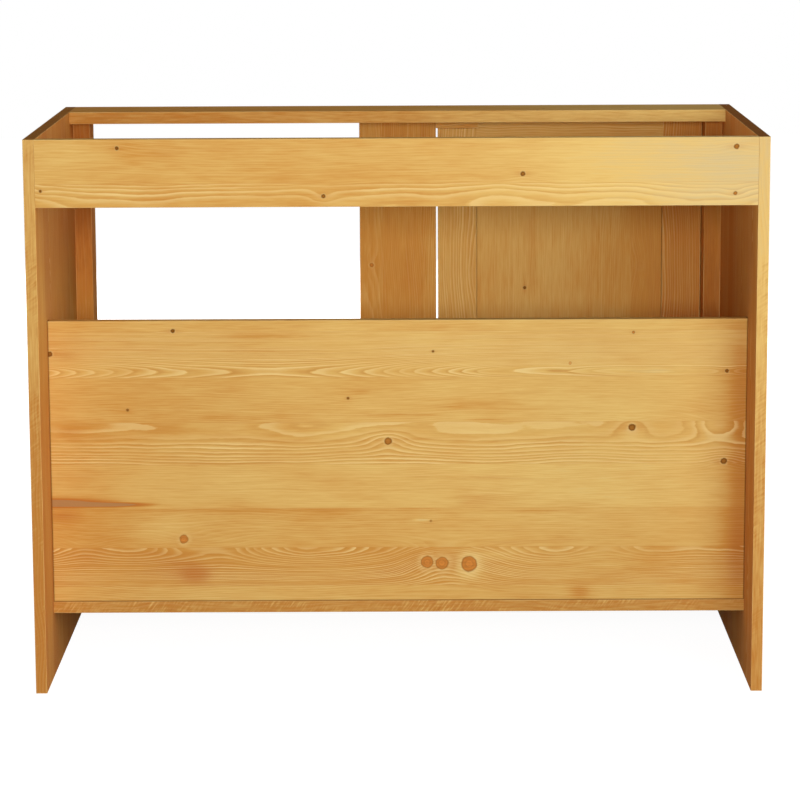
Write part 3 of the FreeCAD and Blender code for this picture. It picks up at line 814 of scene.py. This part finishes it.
def turned_knob():
    """A knob turned on the lathe, with a waisted neck, a rolled rim and a crowned face."""
    low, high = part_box("knob")
    foot_centre = Vector(((low.x + high.x) / 2, high.y, (low.z + high.z) / 2))
    points = [Vector(point) for point in KNOB_FOOT]
    for handle, next_handle, end, count in KNOB_CURVES:
        points += interpolate_bezier(points[-1], handle, next_handle, end, count + 1)[1:]
    mesh = bmesh.new()
    outline = [mesh.verts.new((radius * MM, -height * MM, 0)) for radius, height in points]
    edges = [mesh.edges.new(pair) for pair in zip(outline, outline[1:])]
    bmesh.ops.spin(mesh, geom=outline + edges, cent=(0, 0, 0), axis=(0, 1, 0), angle=math.tau,
                   steps=KNOB_TURNS, use_merge=True)
    bmesh.ops.remove_doubles(mesh, verts=mesh.verts, dist=WELD * MM)
    bmesh.ops.contextual_create(mesh, geom=[edge for edge in mesh.edges if edge.is_boundary])
    bmesh.ops.recalc_face_normals(mesh, faces=mesh.faces)
    for face in mesh.faces:
        # All but the flat foot
        face.smooth = len(face.verts) < KNOB_TURNS
    bmesh.ops.translate(mesh, verts=mesh.verts, vec=foot_centre)
    wood = pine("knob", "YX", planks=[KNOB_PLANK], knots=[])
    return finished("turned_knob", mesh, "door", "turned_pine", wood, "knob")


# Slotted screws: radius and depth of the countersunk head, and radius of the shank
Screw = namedtuple("Screw", "head_r head_l shank_r")
SCREW_TURNS = 32
SLOT_W = 0.9
SLOT_DEPTH = 0.9
SLOT_SNAP = 0.001
LEAF_SCREW = Screw(3.2, 1.75, 1.45)
LEAF_SCREW_INSET = 10.0
BATTEN_SCREW = Screw(3.6, 2.0, 1.7)
BATTEN_SCREW_L = 24.0
BATTEN_SCREW_PROUD = 0.1
BATTEN_SCREW_INSET = 45.0
BATTEN_SCREWS = 3
BATTEN_W = 18.0


def slotted_screw(mesh, face, axis, screw, length, turn):
    """Adds a countersunk screw with a slot across its face. The axis points into the wood."""
    made = bmesh.new()
    bmesh.ops.create_circle(made, cap_ends=True, segments=SCREW_TURNS, radius=screw.head_r * MM)
    for side in (-1, 1):
        whole = made.verts[:] + made.edges[:] + made.faces[:]
        bmesh.ops.bisect_plane(made, geom=whole, dist=SLOT_SNAP * MM,
                               plane_co=(0, side * SLOT_W / 2 * MM, 0), plane_no=(0, 1, 0))
    rim = [edge for edge in made.edges if edge.is_boundary]
    slot = [part for part in made.faces if abs(part.calc_center_median().y) < SLOT_W / 2 * MM]
    for depth in (screw.head_l, length):
        ring = bmesh.ops.extrude_edge_only(made, edges=rim)["geom"]
        rim = [part for part in ring if isinstance(part, bmesh.types.BMEdge) and part.is_boundary]
        for vert in {vert for edge in rim for vert in edge.verts}:
            flat = vert.co.to_2d().normalized() * screw.shank_r * MM
            vert.co = (flat.x, flat.y, -depth * MM)
    bmesh.ops.contextual_create(made, geom=rim)
    sunk = bmesh.ops.extrude_face_region(made, geom=slot)["geom"]
    bmesh.ops.delete(made, geom=slot, context="FACES_ONLY")
    floor = [part for part in sunk if isinstance(part, bmesh.types.BMVert)]
    bmesh.ops.translate(made, verts=floor, vec=(0, 0, -SLOT_DEPTH * MM))
    bmesh.ops.recalc_face_normals(made, faces=made.faces)
    aim = Vector(axis).to_track_quat("-Z", "Y").to_matrix().to_4x4()
    seat = Matrix.Translation(face) @ aim @ Matrix.Rotation(turn, 4, "Z")
    bmesh.ops.transform(made, verts=made.verts, matrix=seat)
    part = bpy.data.meshes.new("screw")
    made.to_mesh(part)
    made.free()
    mesh.from_mesh(part)
    bpy.data.meshes.remove(part)


def leaf_screws(node, leaves, inward, body, brass):
    """The slotted screws of the leaves on one side of the hinges, in place of the plain ones."""
    chance = random.Random(node)
    low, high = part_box(node)
    mesh = bmesh.new()
    for leaf in leaves:
        bottom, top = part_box(leaf)
        for z in (bottom.z + LEAF_SCREW_INSET * MM, top.z - LEAF_SCREW_INSET * MM):
            face = Vector((high.x if inward < 0 else low.x, (low.y + high.y) / 2, z))
            slotted_screw(mesh, face, (inward, 0, 0), LEAF_SCREW, (high.x - low.x) / MM,
                          chance.uniform(0, math.pi))
    return finished("slotted_" + node, mesh, body, "hinge_brass", brass, node)


def batten_screws(steel):
    """Slotted screws that hold the shelf battens to the sides."""
    chance = random.Random("batten screws")
    low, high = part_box("shelf_battens")
    mesh = bmesh.new()
    z = (low.z + high.z) / 2
    step = (high.y - low.y - 2 * BATTEN_SCREW_INSET * MM) / (BATTEN_SCREWS - 1)
    for side, x in ((-1, low.x + BATTEN_W * MM), (1, high.x - BATTEN_W * MM)):
        for i in range(BATTEN_SCREWS):
            y = low.y + BATTEN_SCREW_INSET * MM + i * step
            face = Vector((x - side * BATTEN_SCREW_PROUD * MM, y, z))
            slotted_screw(mesh, face, (side, 0, 0), BATTEN_SCREW, BATTEN_SCREW_L,
                          chance.uniform(0, math.pi))
    return finished("batten_screws", mesh, "carcass", "zinc_steel", steel)


def dress_metal():
    """Brass hinges with slotted screws, and zinc-plated steel."""
    brass = hinge_brass()
    steel = zinc_steel()
    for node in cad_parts:
        if "leaf" in node or "hinge_pin" in node:
            dress(node, brass)
    for node in ("knob_screw", "strike_plate", "catch_magnet"):
        dress(node, steel)
    post_leaves = ("lower_hinge_post_leaf", "upper_hinge_post_leaf")
    door_leaves = ("lower_hinge_door_leaf", "upper_hinge_door_leaf")
    leaf_screws("post_leaf_screws", post_leaves, -1, "carcass", brass)
    leaf_screws("door_leaf_screws", door_leaves, 1, "door", brass)
    batten_screws(steel)


# Camera, lamps and floor
def set_camera():
    """The photograph's view, from behind and above the cabinet's top."""
    data = bpy.data.cameras.new("camera")
    data.sensor_width = SENSOR_W
    data.lens = FOCAL_PX * SENSOR_W / IMAGE_PX
    data.clip_end = CAMERA_REACH_M
    camera = bpy.data.objects.new("camera", data)
    camera.location = CAMERA_AT_M
    camera.rotation_euler = [math.radians(turn) for turn in CAMERA_TURN_DEG]
    bpy.context.scene.collection.objects.link(camera)
    bpy.context.scene.camera = camera


def hang_lamps():
    """Round soft lamps on all sides, turned to the cabinet."""
    for name, (at, size, power) in LAMPS.items():
        data = bpy.data.lights.new(name, "AREA")
        data.shape = "DISK"
        data.size = size
        data.energy = power
        lamp = bpy.data.objects.new(name, data)
        lamp.location = at
        lamp.visible_glossy = False
        lamp.rotation_euler = (Vector(AIM_M) - Vector(at)).to_track_quat("-Z", "Y").to_euler()
        bpy.context.scene.collection.objects.link(lamp)


def seen_directly(tree):
    """1 on rays that show the white background: from the camera, off metal and through glass."""
    path = tree.nodes.new("ShaderNodeLightPath")
    seen = Field(tree, path.outputs["Is Camera Ray"])
    seen = seen.most(Field(tree, path.outputs["Is Glossy Ray"]))
    return seen.most(Field(tree, path.outputs["Is Transmission Ray"]))


def white_world():
    """White where it is seen, and a faint light from all round elsewhere."""
    world = bpy.data.worlds.new("studio")
    world.use_nodes = True
    bpy.context.scene.world = world
    tree = world.node_tree
    sky = tree.nodes["Background"]
    feed(tree, sky.inputs["Color"], (1, 1, 1, 1))
    feed(tree, sky.inputs["Strength"], seen_directly(tree) * (1 - SKY_LIGHT) + SKY_LIGHT)


def matt_grey(tree, share):
    """A diffuse shader that gives back a share of the light."""
    paint = tree.nodes.new("ShaderNodeBsdfDiffuse")
    paint.inputs["Color"].default_value = (share, share, share, 1)
    return paint


def pale_floor():
    """A white floor that shows a faint shadow."""
    mesh = bmesh.new()
    bmesh.ops.create_grid(mesh, x_segments=1, y_segments=1, size=FLOOR_HALF_M)
    data = bpy.data.meshes.new("floor")
    mesh.to_mesh(data)
    mesh.free()
    floor = bpy.data.objects.new("floor", data)
    bpy.context.scene.collection.objects.link(floor)

    material, tree, shader = new_finish("white_floor")
    tree.nodes.remove(shader)
    glow = tree.nodes.new("ShaderNodeEmission")
    place = surface(tree, "Object")
    away = (place["X"] * place["X"] + place["Y"] * place["Y"]).root()
    feed(tree, glow.inputs["Strength"], away.ramp(*SHADOW_REACH_M, FLOOR_GLOW, 1.0))
    bright = tree.nodes.new("ShaderNodeAddShader")
    feed(tree, bright.inputs[0], matt_grey(tree, FLOOR_SHADOW).outputs[0])
    feed(tree, bright.inputs[1], glow.outputs[0])
    choice = tree.nodes.new("ShaderNodeMixShader")
    feed(tree, choice.inputs[0], seen_directly(tree))
    feed(tree, choice.inputs[1], matt_grey(tree, FLOOR_ALBEDO).outputs[0])
    feed(tree, choice.inputs[2], bright.outputs[0])
    feed(tree, tree.nodes["Material Output"].inputs["Surface"], choice.outputs[0])
    floor.data.materials.append(material)


bpy.context.scene.view_settings.view_transform = "Standard"
set_camera()
hang_lamps()
white_world()
pale_floor()
dress_carcass()
dress_door()
dress_narrow_boards()
dress_metal()
turned_knob()
